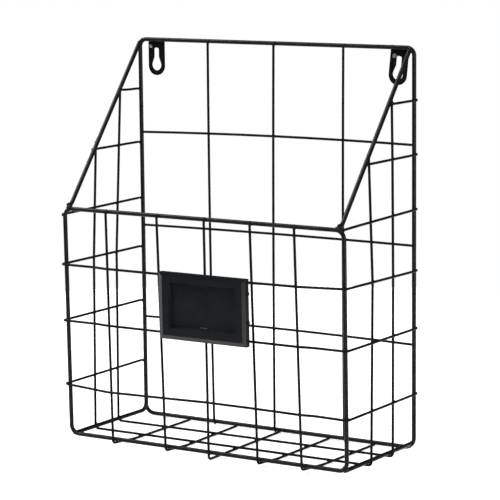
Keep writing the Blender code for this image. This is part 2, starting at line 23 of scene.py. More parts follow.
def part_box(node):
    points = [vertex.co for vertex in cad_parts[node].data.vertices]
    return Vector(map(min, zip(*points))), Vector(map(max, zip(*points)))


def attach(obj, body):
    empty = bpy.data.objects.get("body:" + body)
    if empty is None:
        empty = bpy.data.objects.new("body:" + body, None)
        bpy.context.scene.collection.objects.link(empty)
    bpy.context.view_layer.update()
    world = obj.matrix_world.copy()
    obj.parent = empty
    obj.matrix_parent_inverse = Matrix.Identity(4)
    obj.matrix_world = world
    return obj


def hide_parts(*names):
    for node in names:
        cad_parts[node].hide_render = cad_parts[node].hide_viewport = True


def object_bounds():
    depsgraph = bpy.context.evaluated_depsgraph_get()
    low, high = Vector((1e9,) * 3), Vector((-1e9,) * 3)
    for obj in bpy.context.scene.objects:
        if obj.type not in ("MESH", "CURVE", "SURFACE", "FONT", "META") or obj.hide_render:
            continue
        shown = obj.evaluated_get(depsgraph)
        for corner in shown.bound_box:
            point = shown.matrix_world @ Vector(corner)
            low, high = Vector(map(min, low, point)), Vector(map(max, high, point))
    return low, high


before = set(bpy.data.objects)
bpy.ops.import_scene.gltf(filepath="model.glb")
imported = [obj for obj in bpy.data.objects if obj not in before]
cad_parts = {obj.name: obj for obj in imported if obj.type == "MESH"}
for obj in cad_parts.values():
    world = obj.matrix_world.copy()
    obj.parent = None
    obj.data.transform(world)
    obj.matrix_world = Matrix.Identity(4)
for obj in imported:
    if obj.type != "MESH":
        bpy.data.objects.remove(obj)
CAD_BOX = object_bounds()

bl_info = {
    "name": "Wall magazine rack",
    "version": (1, 0, 0),
    "blender": (4, 5, 0),
    "location": "View3D > Sidebar > Rack",
    "description": "Coats, welds, labels and lights a wire magazine rack",
    "category": "Object",
}

RACK = "rack"
CARD = "card"

SIDES = ("left", "right")
FRAMES = ("back_frame", "front_frame")
RAILS = tuple(f"{kind}_rail_{side}" for kind in ("slant", "base") for side in SIDES)
BACK_MESH = tuple(f"back_{kind}_{i}" for kind in ("upright", "crossbar") for i in (1, 2, 3))
FRONT_WIRES = tuple(f"front_wire_{i}" for i in range(1, 6))
SIDE_WIRES = ("side_wire_rear", "side_wire_front")
HOOPS = ("hoop_upper", "hoop_middle", "hoop_lower")
SHORT_WIRES = tuple(
    f"short_wire_{side}_{place}" for side in SIDES for place in ("upper", "middle", "lower")
)
ALL_WIRES = FRAMES + RAILS + BACK_MESH + FRONT_WIRES + SIDE_WIRES + HOOPS + SHORT_WIRES
# Where the back frame stands
BACK_FRAME_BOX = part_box("back_frame")
BACK_PLANE = (BACK_FRAME_BOX[0][1] + BACK_FRAME_BOX[1][1]) / 2
BACK_FOOT = BACK_FRAME_BOX[0][2]
BACK_TOP = BACK_FRAME_BOX[1][2]
# How much further the side wires' tops go than their solids, to lie against the slant rails
TOP_STRETCH = {
    "side_wire_rear": {"left": 0.0022, "right": 0.0010},
    "side_wire_front": {"left": 0.0050, "right": 0.0028},
}
# Short wires whose front ends turn: over which length, and how far the tip moves
END_TURNS = {
    "short_wire_left_upper": (0.030, (0.0, 0.0022, 0.0014)),
    "short_wire_right_lower": (0.025, (-0.0040, 0.0, -0.0015)),
}
# Rings along such a turn
TURN_RINGS = 8
# Decimals that a solid's points are compared with
PLACE_DIGITS = 6
# Edges of one straight run: how near the longest edge and how long, as shares of its length
RUN_REACH = 0.1
RUN_LENGTH = 0.98
# How many times longer than a bend's pieces a straight run is at least
STRAIGHT_RATIO = 2.5
# Turn in radians below which a line is straight
LEAST_TURN = 1e-3
# Steps of the rounding at a wire's cut end
CAP_ANGLES = tuple(math.radians(angle) for angle in (0, 30, 60, 90))
# Angle between faces above which a wire's shading breaks
WIRE_CREASE = math.radians(40)
# Spacing of the points at which two wires are compared, and the gaps that count as equal
WELD_SPACING = 0.0008
LEVEL_GAP = 2e-5
# Cosines above which a wire is butted against another one or lies along it
BUTTED = 0.75
ALONGSIDE = 0.9
# Half length and half width of a bead between wires side by side, in radii of the thinner
SEAM_SHARES = (3.0, 0.8)
# A bead's fineness, the scale of its unevenness, and the step from bead to bead in the noise
BEAD_SUBDIVISIONS = 3
BEAD_NOISE = 1.3
BEAD_STEP = (7.1, 3.7, 1.9)
# Rounded solids: points that are one, faces that are flat, edges that are rounded or stay sharp
SAME_PLACE = 1e-6
FLAT_ANGLE = math.radians(0.3)
EDGE_CREASE = math.radians(25)
SHADE_CREASE = math.radians(35)
ROUNDING_SEGMENTS = 2
# Weld spots: how far in from a plate's left side and down from its top, and their radii
SPOT_PLACES = {"left": (0.0028, 0.0077), "right": (0.0064, 0.0098)}
SPOT_RADII = {"left": 0.0016, "right": 0.0020}
# A spot's section from the rim inwards, as shares of its radius and of its height
SPOT_PROFILE = (
    (1.15, -0.3),
    (1.12, 0.30),
    (1.0, 0.45),
    (0.88, 0.30),
    (0.80, 0.45),
    (0.5, 0.9),
    (0.2, 1.0),
)
SPOT_SIDES = 28
# How far below the top of the top bar the plates' seams lie
SEAM_DROP = 0.0032
# The way to the front frame's right lower corner, where its wire's two ends are joined
CORNER_WAY = (math.sqrt(0.5), 0.0, -math.sqrt(0.5))
# The label holder's bevel: its tilt from the front, its rounded edges and its smallest face
BEVEL_TILT = (math.radians(6), math.radians(20))
BEVEL_CREASE = math.radians(8)
BEVEL_LEAST_AREA = 0.00005
# Values of the noise between which a range or a pair of colours runs
CLOUD_ENDS = (0.35, 0.65)
WHITE = (1.0, 1.0, 1.0, 1.0)
# The floor's fineness, how far it lies below the rack, and how much paler its clouds are
FLOOR_SEGMENTS = 64
FLOOR_DROP = 0.0002
FLOOR_PALER = 1.03
# The camera's sensor in millimetres and its far limit in metres
SENSOR_WIDTH = 36.0
FAR_LIMIT = 100.0
# Softboxes, turned to one point: where each stands, and its width and height
LIGHT_AIM = (0.0, 0.0, 0.18)
SOFTBOXES = {
    "right": ((3.10, -0.60, 0.20), (1.2, 2.4)),
    "left": ((-2.45, -1.25, 0.30), (0.5, 1.6)),
    "upper": ((-2.10, -0.40, 2.00), (1.8, 1.8)),
    "top": ((-0.45, -1.23, 2.65), (1.8, 1.8)),
}


class RackWireSettings(PropertyGroup):
    """How the coated wires are drawn."""

    sides: IntProperty(
        name="Sides", description="Facets round a wire", default=24, min=8, max=64
    )
    bend_step: FloatProperty(
        name="Bend step",
        description="Largest turn between two rings of a bend",
        default=math.radians(4),
        subtype="ANGLE",
    )
    film: FloatProperty(
        name="Film",
        description="Thickness that the coat adds to a wire",
        default=0.00008,
        unit="LENGTH",
        precision=5,
    )
    end_rounding: FloatProperty(
        name="End rounding",
        description="How far the coat rounds a cut end, as a share of the radius",
        default=0.55,
        subtype="FACTOR",
    )
    ball_rounding: FloatProperty(
        name="Ball rounding",
        description="The same at the ends of the short wires, which are drawn to a ball",
        default=0.95,
        subtype="FACTOR",
    )


class RackWeldSettings(PropertyGroup):
    """Beads where wires meet."""

    reach: FloatProperty(
        name="Reach",
        description="Widest gap between two wires that a weld closes",
        default=0.0006,
        unit="LENGTH",
        precision=4,
    )
    top_reach: FloatProperty(
        name="Top reach",
        description="The same between a slant rail and the top of a side wire",
        default=0.0028,
        unit="LENGTH",
        precision=4,
    )
    foot_growth: FloatProperty(
        name="Foot growth",
        description="How much longer and higher a bead is under the foot of a slant rail",
        default=1.35,
        subtype="FACTOR",
    )
    spread: FloatProperty(
        name="Spread",
        description="Half length of a bead along a wire, in radii of the other wire",
        default=1.35,
        subtype="FACTOR",
    )
    thickness: FloatProperty(
        name="Thickness",
        description="Half height of a bead, in radii of the thinner wire",
        default=0.72,
        subtype="FACTOR",
    )
    bite: FloatProperty(
        name="Bite",
        description="How far a bead over a wide gap goes into the wires, in radii of the thinner",
        default=0.3,
        subtype="FACTOR",
    )
    collar: FloatProperty(
        name="Collar",
        description="Radius of the bead round a butted end, in radii of that wire",
        default=1.32,
        subtype="FACTOR",
    )
    corner_radius: FloatProperty(
        name="Corner radius",
        description="Radius of the bead in the front frame's right lower corner",
        default=0.0031,
        unit="LENGTH",
        precision=4,
    )
    corner_out: FloatProperty(
        name="Corner offset",
        description="How far that bead stands out of the bend",
        default=0.0006,
        unit="LENGTH",
        precision=4,
    )
    seam: FloatProperty(
        name="Seam",
        description="Half length of the seam that holds a hanger plate to the top bar",
        default=0.0062,
        unit="LENGTH",
        precision=4,
    )
    seam_radius: FloatProperty(
        name="Seam radius",
        description="Half height of that seam",
        default=0.0009,
        unit="LENGTH",
        precision=4,
    )
    unevenness: FloatProperty(
        name="Unevenness",
        description="How far a bead's skin wanders, as a share of its size",
        default=0.10,
        subtype="FACTOR",
    )


class RackHangerSettings(PropertyGroup):
    """Keyhole plates."""

    edge_rounding: FloatProperty(
        name="Edge rounding",
        description="Radius that the stamping and the coat leave on the edges",
        default=0.00028,
        unit="LENGTH",
        precision=5,
    )
    spot_height: FloatProperty(
        name="Spot height",
        description="How far the spot stands out of the plate",
        default=0.0007,
        unit="LENGTH",
        precision=4,
    )


class RackLabelSettings(PropertyGroup):
    """Label holder and card."""

    edge_rounding: FloatProperty(
        name="Edge rounding",
        description="Radius of the moulded edges",
        default=0.00042,
        unit="LENGTH",
        precision=5,
    )
    card_rounding: FloatProperty(
        name="Card rounding",
        description="Radius of the card's cut edges",
        default=0.00012,
        unit="LENGTH",
        precision=5,
    )


class RackFinishSettings(PropertyGroup):
    """Colours and sheen."""

    coat: FloatVectorProperty(
        name="Coat", description="Colour of the powder coat", default=(0.0045, 0.0045, 0.0050),
        subtype="COLOR", min=0.0, max=1.0,
    )
    coat_deep: FloatVectorProperty(
        name="Coat, deep", description="Colour where the coat is thick", subtype="COLOR",
        default=(0.0038, 0.0038, 0.0041), min=0.0, max=1.0,
    )
    coat_worn: FloatVectorProperty(
        name="Coat, thin", description="Colour where the coat is thin", subtype="COLOR",
        default=(0.010, 0.010, 0.0105), min=0.0, max=1.0,
    )
    coat_gloss: FloatProperty(
        name="Coat gloss", description="Specular level of the powder coat", default=0.08,
        subtype="FACTOR", min=0.0, max=1.0,
    )
    dull_gloss: FloatProperty(
        name="Dull gloss", description="Specular level of the coat on thin wires and plates",
        default=0.015, subtype="FACTOR", min=0.0, max=1.0,
    )
    # Pale colour of the left weld spot: a painted glint, paler than the right one's
    left_spot_with_glint: FloatVectorProperty(
        name="Bare weld spot", description="Colour of the left plate's spot", subtype="COLOR",
        default=(0.24, 0.24, 0.245), min=0.0, max=1.0,
    )
    # Grey colour of the right weld spot: a painted glint
    spot: FloatVectorProperty(
        name="Weld spot", description="Colour of the right plate's spot", subtype="COLOR",
        default=(0.11, 0.11, 0.115), min=0.0, max=1.0,
    )
    plastic: FloatVectorProperty(
        name="Plastic", description="Colour of the label holder", subtype="COLOR",
        default=(0.0042, 0.0050, 0.0062), min=0.0, max=1.0,
    )
    plastic_pale: FloatVectorProperty(
        name="Plastic, pale", description="Colour of the holder's paler clouds",
        default=(0.0053, 0.0062, 0.0077), subtype="COLOR", min=0.0, max=1.0,
    )
    card: FloatVectorProperty(
        name="Card", description="Colour of the card", default=(0.0036, 0.0044, 0.0056),
        subtype="COLOR", min=0.0, max=1.0,
    )
    card_fibre: FloatVectorProperty(
        name="Card fibre", description="Colour of the card's fibres", subtype="COLOR",
        default=(0.0056, 0.0066, 0.0080), min=0.0, max=1.0,
    )
    plastic_gloss: FloatProperty(
        name="Plastic gloss", description="Specular level of the holder and the card",
        default=0.06, subtype="FACTOR", min=0.0, max=1.0,
    )
    polish: FloatProperty(
        name="Polish", description="Specular level of the holder's polished bevel", default=0.35,
        subtype="FACTOR", min=0.0, max=1.0,
    )


class RackStageSettings(PropertyGroup):
    """Camera, floor and light."""

    target: FloatVectorProperty(
        name="Target", description="Point of the back frame's plane that the camera looks at",
        subtype="TRANSLATION", default=(-0.0268, BACK_PLANE, BACK_FOOT + 0.1728),
    )
    distance: FloatProperty(
        name="Distance", description="From the camera to its target", default=2.2658,
        unit="LENGTH",
    )
    azimuth: FloatProperty(
        name="Azimuth", description="Camera's turn to the right of the rack's front",
        default=math.radians(32.56), subtype="ANGLE",
    )
    elevation: FloatProperty(
        name="Elevation", description="Camera's height above the horizon",
        default=math.radians(8.77), subtype="ANGLE",
    )
    roll: FloatProperty(
        name="Roll", description="Camera's tilt about its own axis",
        default=math.radians(-0.56), subtype="ANGLE",
    )
    lens: FloatProperty(
        name="Lens", description="Focal length in millimetres", default=171.97,
        unit="CAMERA",
    )
    floor: FloatVectorProperty(
        name="Floor", description="Colour of the floor", default=(0.50, 0.50, 0.50),
        subtype="COLOR", min=0.0, max=1.0,
    )
    floor_glow: FloatProperty(
        name="Floor glow", description="Light that the lit table gives by itself", default=0.75,
    )
    floor_radius: FloatProperty(
        name="Floor radius", description="Size of the floor", default=0.9, unit="LENGTH",
    )
    surround_glow: FloatProperty(
        name="Surround glow", description="Light that the surround gives", default=0.08,
    )
    right_power: FloatProperty(
        name="Right softbox", description="Power of the softbox at the right", default=120.0,
        subtype="POWER",
    )
    left_power: FloatProperty(
        name="Left softbox", description="Power of the softbox at the left", default=10.0,
        subtype="POWER",
    )
    upper_power: FloatProperty(
        name="Upper softbox", description="Power of the softbox at the upper left",
        default=130.0, subtype="POWER",
    )
    top_power: FloatProperty(
        name="Top softbox", description="Power of the softbox overhead", default=75.0,
        subtype="POWER",
    )


class RackSettings(PropertyGroup):
    """Everything that the rack's panel shows."""

    wire: PointerProperty(type=RackWireSettings)
    weld: PointerProperty(type=RackWeldSettings)
    hanger: PointerProperty(type=RackHangerSettings)
    label: PointerProperty(type=RackLabelSettings)
    finish: PointerProperty(type=RackFinishSettings)
    stage: PointerProperty(type=RackStageSettings)


# Materials


class Shader:
    """A material under construction: its node tree and its surface shader."""

    def __init__(self, name):
        self.material = bpy.data.materials.new(name)
        self.material.use_nodes = True
        self.tree = self.material.node_tree
        self.surface = self.tree.nodes["Principled BSDF"]
        self.place = self.tree.nodes.new("ShaderNodeTexCoord").outputs["Object"]

    def node(self, kind, **settings):
        """Adds a node with some of its settings."""
        made = self.tree.nodes.new(kind)
        for name, value in settings.items():
            setattr(made, name, value)
        return made

    def link(self, source, target):
        self.tree.links.new(source, target)

    def feed(self, socket, value):
        """Links a value to a socket of the surface."""
        self.link(value, self.surface.inputs[socket])

    def clouds(self, scale, detail=3.0, stretch=(1.0, 1.0, 1.0)):
        """Noise of a scale in cycles per metre, as a value about one half."""
        spread = self.node("ShaderNodeMapping")
        spread.inputs["Scale"].default_value = stretch
        self.link(self.place, spread.inputs["Vector"])
        made = self.node("ShaderNodeTexNoise")
        made.inputs["Scale"].default_value = scale
        made.inputs["Detail"].default_value = detail
        self.link(spread.outputs["Vector"], made.inputs["Vector"])
        return made.outputs["Fac"]

    def between(self, value, low, high, ends=CLOUD_ENDS):
        """Spreads a value onto a range."""
        made = self.node("ShaderNodeMapRange", interpolation_type="SMOOTHSTEP")
        made.inputs["From Min"].default_value = ends[0]
        made.inputs["From Max"].default_value = ends[1]
        made.inputs["To Min"].default_value = low
        made.inputs["To Max"].default_value = high
        self.link(value, made.inputs["Value"])
        return made.outputs["Result"]

    def colours(self, value, first, second, ends=CLOUD_ENDS):
        """Runs a value from one colour to another."""
        made = self.node("ShaderNodeValToRGB")
        for stop, place, colour in zip(made.color_ramp.elements, ends, (first, second)):
            stop.position = place
            stop.color = (*colour, 1.0)
        self.link(value, made.inputs["Fac"])
        return made.outputs["Color"]

    def bumps(self, layers):
        """Adds (value, height in metres) layers to the surface's relief."""
        normal = None
        for value, height in layers:
            made = self.node("ShaderNodeBump")
            made.inputs["Strength"].default_value = 1.0
            made.inputs["Distance"].default_value = height
            self.link(value, made.inputs["Height"])
            if normal is not None:
                self.link(normal, made.inputs["Normal"])
            normal = made.outputs["Normal"]
        self.feed("Normal", normal)

    def set(self, **sockets):
        """Sets sockets of the surface that are the same all over."""
        for name, value in sockets.items():
            self.surface.inputs[name.replace("_", " ")].default_value = value


def finished(name, make, context):
    """A material by name, made on first use."""
    return bpy.data.materials.get(name) or make(name, context.scene.magazine_rack.finish)


def coated_wire(name, finish, gloss):
    """Satin powder coat: orange peel, fine grain and thinner, paler clouds."""
    shader = Shader(name)
    peel = shader.clouds(1100.0, detail=2.0)
    grain = shader.clouds(4200.0, detail=2.0)
    patches = shader.clouds(120.0, detail=4.0)
    base = shader.colours(patches, finish.coat, finish.coat_worn, ends=(0.40, 0.72))
    shader.feed("Base Color", base)
    sheen = shader.clouds(260.0, detail=3.0)
    shader.feed("Roughness", shader.between(sheen, low=0.20, high=0.30))
    shader.bumps([(peel, 0.000014), (grain, 0.000003)])
    shader.set(Specular_IOR_Level=gloss)
    return shader.material


def powder_coat(name, finish):
    """The coat on the frames and rails."""
    return coated_wire(name, finish, finish.coat_gloss)


def mesh_coat(name, finish):
    """The coat on the thin wires, which is duller."""
    return coated_wire(name, finish, finish.dull_gloss)


def weld_coat(name, finish):
    """The coat over weld beads: thinner, rougher and a little paler."""
    shader = Shader(name)
    pits = shader.clouds(1800.0, detail=3.0)
    patches = shader.clouds(300.0, detail=4.0)
    base = shader.colours(patches, finish.coat, finish.coat_worn, ends=(0.30, 0.60))
    shader.feed("Base Color", base)
    shader.feed("Roughness", shader.between(patches, low=0.34, high=0.50))
    shader.bumps([(pits, 0.000060)])
    shader.set(Specular_IOR_Level=finish.coat_gloss)
    return shader.material


def burnt_spot_with_glint(name, finish, tone):
    """A weld spot with burnt, darker clouds that run to a pale tone, which is a painted glint."""
    shader = Shader(name)
    burn = shader.clouds(900.0, detail=4.0)
    # The tone is a painted glint where the spot catches light
    base = shader.colours(burn, finish.coat_worn, tone, ends=(0.25, 0.55))
    shader.feed("Base Color", base)
    shader.feed("Roughness", shader.between(burn, low=0.30, high=0.48))
    shader.bumps([(burn, 0.000080)])
    return shader.material


def left_spot_with_glint(name, finish):
    """The left plate's weld spot: its pale colour is a painted glint."""
    return burnt_spot_with_glint(name, finish, finish.left_spot_with_glint)


def right_spot_with_glint(name, finish):
    """The right plate's weld spot: its grey colour is a painted glint."""
    return burnt_spot_with_glint(name, finish, finish.spot)


def plate_coat(name, finish):
    """The same coat on pressed strip, where it lies rougher and shows the rolled sheet."""
    shader = Shader(name)
    peel = shader.clouds(800.0, detail=3.0)
    rolled = shader.clouds(500.0, detail=3.0, stretch=(1.0, 1.0, 0.12))
    patches = shader.clouds(240.0, detail=5.0)
    base = shader.colours(patches, finish.coat_deep, finish.coat_worn, ends=(0.45, 0.85))
    shader.feed("Base Color", base)
    shader.feed("Roughness", shader.between(rolled, low=0.30, high=0.44))
    shader.bumps([(peel, 0.000060), (rolled, 0.000020)])
    shader.set(Specular_IOR_Level=finish.dull_gloss)
    return shader.material


def moulded_plastic(name, finish):
    """Semi-gloss moulded plastic with a fine spark-eroded grain."""
    shader = Shader(name)
    flow = shader.clouds(45.0, detail=3.0, stretch=(0.5, 1.0, 1.6))
    grain = shader.clouds(3200.0, detail=2.0)
    base = shader.colours(flow, finish.plastic, finish.plastic_pale)
    shader.feed("Base Color", base)
    shader.feed("Roughness", shader.between(flow, low=0.26, high=0.36))
    shader.bumps([(grain, 0.000012)])
    shader.set(Specular_IOR_Level=finish.plastic_gloss)
    return shader.material


def polished_plastic(name, finish):
    """The same plastic where the mould is polished: smooth, with faint flow marks."""
    shader = Shader(name)
    flow = shader.clouds(70.0, detail=3.0, stretch=(0.5, 1.0, 1.6))
    base = shader.colours(flow, finish.plastic, finish.plastic_pale)
    shader.feed("Base Color", base)
    shader.feed("Roughness", shader.between(flow, low=0.14, high=0.22))
    shader.bumps([(flow, 0.000030)])
    shader.set(Specular_IOR_Level=finish.polish)
    return shader.material


def fibre_card(name, finish):
    """Dark card: fibres along its width, faint clouds and a soft calendered sheen."""
    shader = Shader(name)
    fibres = shader.clouds(900.0, detail=4.0, stretch=(0.15, 1.0, 1.0))
    clouds = shader.clouds(60.0, detail=4.0)
    base = shader.colours(clouds, finish.card, finish.card_fibre)
    shader.feed("Base Color", base)
    shader.feed("Roughness", shader.between(fibres, low=0.28, high=0.42))
    shader.bumps([(fibres, 0.000015)])
    shader.set(Specular_IOR_Level=finish.plastic_gloss)
    return shader.material


def floor_paint(name, context):
    """A pale matt floor with hardly visible clouds."""
    shader = Shader(name)
    tone = context.scene.magazine_rack.stage.floor
    paler = tuple(min(1.0, value * FLOOR_PALER) for value in tone)
    base = shader.colours(shader.clouds(3.0), tone, paler)
    shader.feed("Base Color", base)
    shader.set(
        Roughness=0.7,
        Emission_Color=WHITE,
        Emission_Strength=context.scene.magazine_rack.stage.floor_glow,
    )
    return shader.material


# Wires


def ring_graph(node):
    """A solid's points without doubles, each one's neighbours, and its edges."""
    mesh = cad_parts[node].data
    places = np.array([vertex.co for vertex in mesh.vertices], float)
    points, same = np.unique(np.round(places, PLACE_DIGITS), axis=0, return_inverse=True)
    same = same.reshape(-1)
    near = [set() for _ in points]
    edges = set()
    for a, b in (edge.vertices for edge in mesh.edges):
        a, b = int(same[a]), int(same[b])
        near[a].add(b)
        near[b].add(a)
        edges.add((min(a, b), max(a, b)))
    return points, near, sorted(edges)


def centre_line(node):
    """The points that a wire's solid follows, whether it closes, and its radius.

    The walk starts at the two ends of the longest straight run and goes ring by ring.
    """
    points, near, edges = ring_graph(node)
    pairs = np.array(edges)
    spans = points[pairs[:, 1]] - points[pairs[:, 0]]
    lengths = np.linalg.norm(spans, axis=1)
    longest = int(lengths.argmax())
    along = spans[longest] / lengths[longest]
    middles = (points[pairs[:, 0]] + points[pairs[:, 1]]) / 2
    middle = middles[longest]
    beside = np.linalg.norm(middles - middle, axis=1) < RUN_REACH * lengths[longest]
    run = pairs[beside & (lengths > RUN_LENGTH * lengths[longest])]
    ahead = {int(i) for pair in run for i in pair if (points[i] - middle) @ along > 0}
    behind = {int(i) for pair in run for i in pair} - ahead

    visited = ahead | behind
    walks = []
    for ring in (ahead, behind):
        rings = [ring]
        while True:
            step = set().union(*(near[i] for i in rings[-1])) - visited
            if not step:
                break
            visited |= step
            rings.append(step)
        walks.append(rings)
    forward, backward = walks
    closed = bool(set().union(*(near[i] for i in forward[-1])) & behind) and len(forward) > 1
    rings = backward[::-1] + forward
    line = [points[sorted(ring)].mean(axis=0) for ring in rings]
    radius = np.linalg.norm(points[sorted(ahead)] - line[len(backward)], axis=1).max()
    return np.array(line), closed, float(radius)


def tangents(line, closed):
    """Directions at the points of a line: along a straight run where a bend leaves it."""
    steps = np.diff(np.vstack([line, line[:1]]) if closed else line, axis=0)
    lengths = np.linalg.norm(steps, axis=1)
    units = steps / lengths[:, None]
    found = []
    for i in range(len(line)):
        before = i - 1 if i or closed else None
        after = i if i < len(units) else None
        if before is None or after is None:
            found.append(units[after if before is None else before])
        elif lengths[before] > STRAIGHT_RATIO * lengths[after]:
            found.append(units[before])
        elif lengths[after] > STRAIGHT_RATIO * lengths[before]:
            found.append(units[after])
        else:
            mean = units[before] + units[after]
            found.append(mean / np.linalg.norm(mean))
    return np.array(found)


def smooth_line(line, closed, step):
    """Rounds a line's bends into arcs with a ring at each step of their turn."""
    directions = tangents(line, closed)
    count = len(line)
    smooth = []
    for i in range(count if closed else count - 1):
        j = (i + 1) % count
        turn = math.acos(max(-1.0, min(1.0, float(directions[i] @ directions[j]))))
        pieces = max(1, math.ceil(turn / step))
        chord = np.linalg.norm(line[j] - line[i])
        pull = chord
        if turn >= LEAST_TURN:
            pull = 2 * chord * math.tan(turn / 4) / math.sin(turn / 2)
        for k in range(pieces):
            t = k / pieces
            smooth.append(
                (2 * t**3 - 3 * t**2 + 1) * line[i]
                + (t**3 - 2 * t**2 + t) * pull * directions[i]
                + (3 * t**2 - 2 * t**3) * line[j]
                + (t**3 - t**2) * pull * directions[j]
            )
    if not closed:
        smooth.append(line[-1])
    return np.array(smooth)


def turned_end(line, length, turn):
    """A straight wire's line from rear to front, whose front end curves aside."""
    rear, front = sorted(line, key=lambda place: -place[1])
    way = (front - rear) / np.linalg.norm(front - rear)
    share = np.linspace(0.0, 1.0, TURN_RINGS)[:, None]
    curve = front - way * length * (1 - share) + np.array(turn) * share**2
    return np.vstack([rear, curve])


def wire_line(node, step):
    """A wire's smooth centre line with its ends drawn to what they are welded to."""
    line, closed, radius = centre_line(node)
    if node in END_TURNS:
        return turned_end(line, *END_TURNS[node]), closed, radius
    line = smooth_line(line, closed, step)
    if node in TOP_STRETCH:
        for end, before in ((0, 1), (-1, -2)):
            way = line[end] - line[before]
            side = "left" if line[end][0] < 0 else "right"
            line[end] += way / np.linalg.norm(way) * TOP_STRETCH[node][side]
    return line, closed, radius


def end_rings(place, outward, radius, rounding):
    """(centre, radius) pairs that round a cut end, from the wire towards its tip."""
    fillet = rounding * radius
    return [
        (place + outward * fillet * (math.sin(a) - 1), radius - fillet + fillet * math.cos(a))
        for a in CAP_ANGLES
    ]


def tube_mesh(name, line, closed, radius, sides, rounding):
    """A round tube along a line, with rounded cut ends if it is open."""
    directions = tangents(line, closed)
    rings = [(place, radius) for place in line]
    if not closed:
        first = end_rings(line[0], -directions[0], radius, rounding)
        last = end_rings(line[-1], directions[-1], radius, rounding)
        rings = first[::-1] + rings[1:-1] + last
        ends = len(first)
        directions = np.vstack(
            [[directions[0]] * ends, directions[1:-1], [directions[-1]] * ends]
        )

    shape = bmesh.new()
    aside = Vector(directions[0]).orthogonal().normalized()
    loops = []
    for (place, ring_radius), direction in zip(rings, directions):
        direction = Vector(direction)
        aside = (aside - direction * aside.dot(direction)).normalized()
        across = direction.cross(aside)
        loop = []
        for i in range(sides):
            angle = 2 * math.pi * i / sides
            spoke = aside * math.cos(angle) + across * math.sin(angle)
            loop.append(shape.verts.new(Vector(place) + spoke * ring_radius))
        loops.append(loop)
    pairs = list(zip(loops, loops[1:] + loops[:1]))
    for near, far in pairs if closed else pairs[:-1]:
        for i in range(sides):
            j = (i + 1) % sides
            shape.faces.new((near[i], near[j], far[j], far[i]))
    if not closed:
        shape.faces.new(loops[0][::-1])
        shape.faces.new(loops[-1])
    bmesh.ops.recalc_face_normals(shape, faces=shape.faces)
    return smooth_mesh(name, shape, WIRE_CREASE)


def smooth_mesh(name, shape, crease):
    """Turns a built shape into a mesh, shaded smooth except at creases."""
    mesh = bpy.data.meshes.new(name)
    shape.to_mesh(mesh)
    shape.free()
    mesh.shade_smooth()
    mesh.set_sharp_from_angle(angle=crease)
    return mesh


def add_piece(mesh, material, body, replaced=()):
    """Puts a mesh into the scene as a piece that rides on a body."""
    mesh.materials.append(material)
    piece = bpy.data.objects.new(mesh.name, mesh)
    bpy.context.scene.collection.objects.link(piece)
    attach(piece, body)
    if replaced:
        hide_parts(*replaced)
    return piece


def lay_wires(context, nodes, coat, rounding=None):
    """Lays a coated wire along each solid's centre line."""
    settings = context.scene.magazine_rack.wire
    rounding = rounding or settings.end_rounding
    for node in nodes:
        line, closed, radius = wire_line(node, settings.bend_step)
        outer = radius + settings.film
        mesh = tube_mesh(f"coated_{node}", line, closed, outer, settings.sides, rounding)
        add_piece(mesh, coat, RACK, (node,))


def lay_frame_wires(context, nodes):
    """Lays thick wires under the satin coat."""
    lay_wires(context, nodes, finished("satin_powder_coat", powder_coat, context))


def lay_mesh_wires(context, nodes, rounding=None):
    """Lays thin wires under the duller coat."""
    lay_wires(context, nodes, finished("dull_powder_coat", mesh_coat, context), rounding)


# Welds


def sampled(line, closed, spacing):
    """Points about every spacing along a line, and the directions there."""
    around = np.vstack([line, line[:1]]) if closed else line
    points = []
    directions = []
    for a, b in zip(around, around[1:]):
        length = np.linalg.norm(b - a)
        count = max(1, math.ceil(length / spacing))
        for k in range(count):
            points.append(a + (b - a) * k / count)
            directions.append((b - a) / length)
    if not closed:
        points.append(around[-1])
        directions.append(directions[-1])
    return np.array(points), np.array(directions)


def meetings(first, second, limit):
    """Index pairs where two sampled lines come within a limit, one for each meeting."""
    gaps = np.linalg.norm(first[:, None, :] - second[None, :, :], axis=2)
    nearest = gaps.min(axis=1)
    found = []
    run = []
    for i, gap in enumerate(np.append(nearest, np.inf)):
        if gap < limit:
            run.append(i)
        elif run:
            best = min(nearest[k] for k in run)
            level = [k for k in run if nearest[k] < best + LEVEL_GAP]
            middle = level[len(level) // 2]
            found.append((middle, int(gaps[middle].argmin())))
            run = []
    return found


def bead_mesh(shape, centre, axes, seed, unevenness):
    """Adds an uneven bead with three half axes to a shape."""
    made = bmesh.ops.create_icosphere(shape, subdivisions=BEAD_SUBDIVISIONS, radius=1.0)
    start = Vector([seed * step for step in BEAD_STEP])
    for vertex in made["verts"]:
        unit = vertex.co.copy()
        wander = noise.noise(unit * BEAD_NOISE + start)
        unit *= 1.0 + unevenness * wander
        vertex.co = centre + axes[0] * unit.x + axes[1] * unit.y + axes[2] * unit.z
        vertex.co.z = min(max(vertex.co.z, CAD_BOX[0][2]), CAD_BOX[1][2])


def bead_axes(apart, along, across, radii, gap, settings):
    """Half axes of the bead between two wires: a fillet, a collar or a seam."""
    thin = min(radii)
    height = apart * max(thin * settings.thickness, thin * settings.bite + gap / 2)
    for direction, radius in ((along, radii[0]), (across, radii[1])):
        if abs(direction.dot(apart)) > BUTTED:
            aside = direction.orthogonal().normalized() * radius * settings.collar
            return aside, direction.cross(aside), direction * radius
    if abs(along.dot(across)) > ALONGSIDE:
        length, width = SEAM_SHARES
        return along * thin * length, apart.cross(along) * thin * width, height
    first = (along - apart * along.dot(apart)).normalized()
    second = (across - apart * across.dot(apart)).normalized()
    return (
        first * radii[1] * settings.spread,
        second * radii[0] * settings.spread,
        height,
    )


